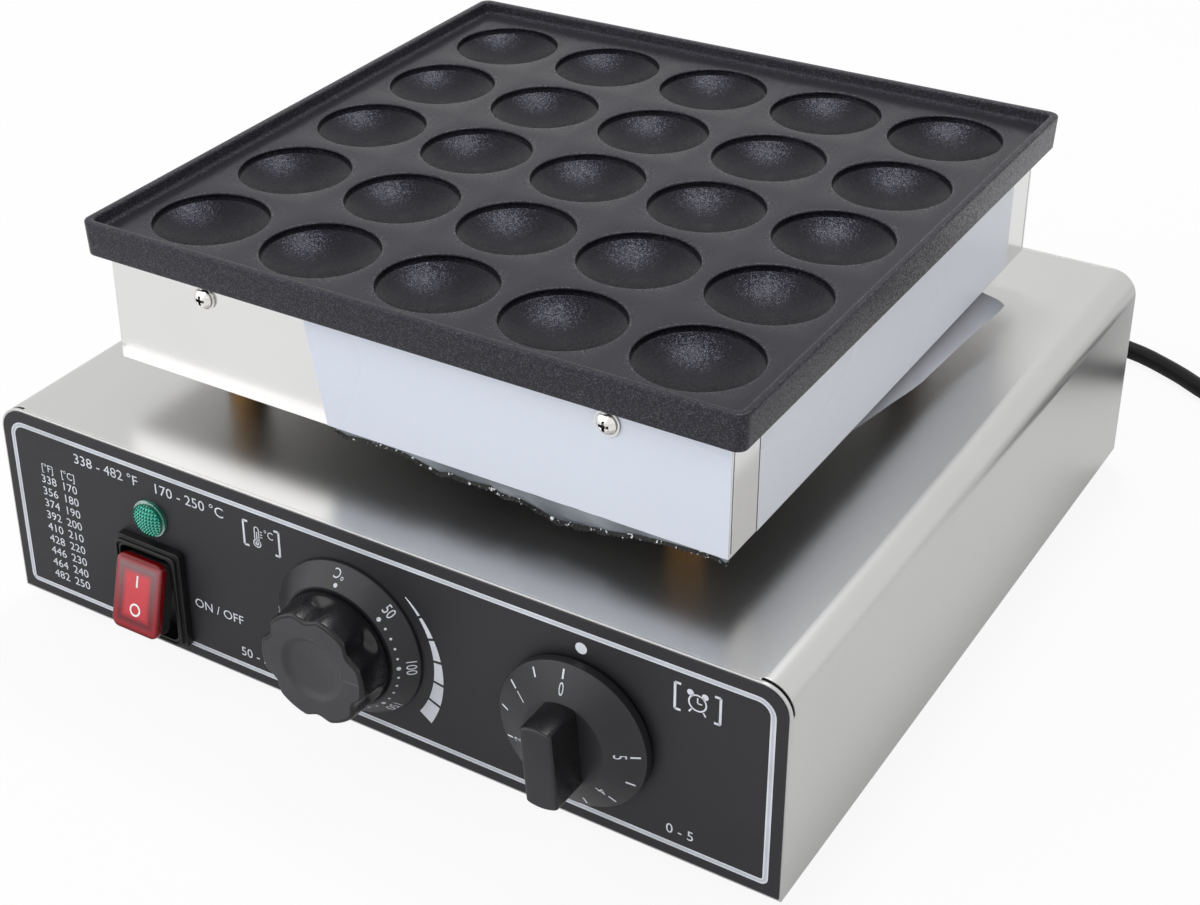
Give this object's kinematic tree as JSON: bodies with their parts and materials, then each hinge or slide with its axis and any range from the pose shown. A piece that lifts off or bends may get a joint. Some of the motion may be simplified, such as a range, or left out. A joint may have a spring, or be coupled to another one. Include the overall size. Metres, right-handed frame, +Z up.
{
  "type": "mini pancake maker",
  "caption": "Countertop electric mini pancake maker: square cast plate of shallow round moulds on a heater housing above a steel control base with switch, thermostat and timer.",
  "frame": {"origin": "on the floor under the middle of the machine's box, cord left out", "axes": "+X to the right seen from the front, +Y to the back, +Z up; the controls face -Y"},
  "size_m": [0.5266, 0.5747, 0.1745],
  "materials": {
    "plate_coating": "cast aluminium with a dark non-stick coating",
    "bright_screw": "plated",
    "housing_steel": "bright rolled stainless sheet",
    "base_steel": "brushed stainless sheet",
    "film": "thin protective film",
    "element_steel": "heat darkened",
    "ceramic": "unglazed",
    "copper": "plain copper",
    "mineral_wool": "pressed fibre",
    "brass": "turned",
    "zinc": "zinc plated",
    "fascia_print": "printed dark charcoal with white marks",
    "green_lens": "coloured clear plastic",
    "black_plastic": "satin moulded",
    "red_rocker": "coloured clear plastic",
    "black_rubber": "matt",
    "wire_sleeve": "braided sleeve",
    "pin_steel": "nickel plated"
  },
  "bodies": {
    "base": {"baking_plate": "plate_coating", "plate_screws": "bright_screw", "plate_screw_washers": "bright_screw", "clamp_screws": "bright_screw", "standoff_upper_screws": "bright_screw", "standoff_lower_screws": "bright_screw", "cover_screws": "bright_screw", "foot_screws": "bright_screw", "thermostat_screws": "bright_screw", "timer_screws": "bright_screw", "terminal_block_screws": "bright_screw", "earth_nut": "bright_screw", "heater_housing": "housing_steel", "base_cover": "base_steel", "chassis": "base_steel", "film_front": "film", "film_side": "film", "heating_element": "element_steel", "element_clamps": "element_steel", "element_terminals": "ceramic", "terminal_block": "ceramic", "sensor_bulb": "copper", "capillary_tube": "copper", "insulation_pad": "mineral_wool", "standoffs": "brass", "switch_terminals": "brass", "thermostat_terminals": "brass", "timer_terminals": "brass", "earth_stud": "brass", "conduit_nuts": "zinc", "thermostat_body": "zinc", "timer_body": "zinc", "fascia": "fascia_print", "indicator_lens": "green_lens", "indicator_body": "black_plastic", "indicator_nut": "black_plastic", "switch_body": "black_plastic", "thermostat_dial": "black_plastic", "strain_relief_nut": "black_plastic", "wire_conduit": "black_plastic", "feet": "black_rubber", "strain_relief": "black_rubber", "power_cord": "black_rubber", "cord_coil": "black_rubber", "cord_tie": "black_rubber", "power_plug": "black_rubber", "inner_wires": "wire_sleeve", "plug_pins": "pin_steel"},
    "rocker": {"switch_rocker": "red_rocker"},
    "thermostat": {"thermostat_knob": "black_plastic", "thermostat_shaft": "zinc"},
    "timer": {"timer_knob": "black_plastic", "timer_shaft": "zinc"}
  },
  "joints": [
    {"name": "switch_rock", "type": "hinge", "parent": "base", "child": "rocker", "pos_m": [-0.098, -0.1741, 0.0354], "axis": [1, 0, 0], "range_deg": [0, 30]},
    {"name": "thermostat_turn", "type": "hinge", "parent": "base", "child": "thermostat", "pos_m": [-0.0025, -0.1719, 0.0492], "axis": [0, 1, 0], "range_deg": [-86, 184]},
    {"name": "timer_turn", "type": "hinge", "parent": "base", "child": "timer", "pos_m": [0.0955, -0.1719, 0.0492], "axis": [0, 1, 0], "range_deg": [0, 270]}
  ]
}
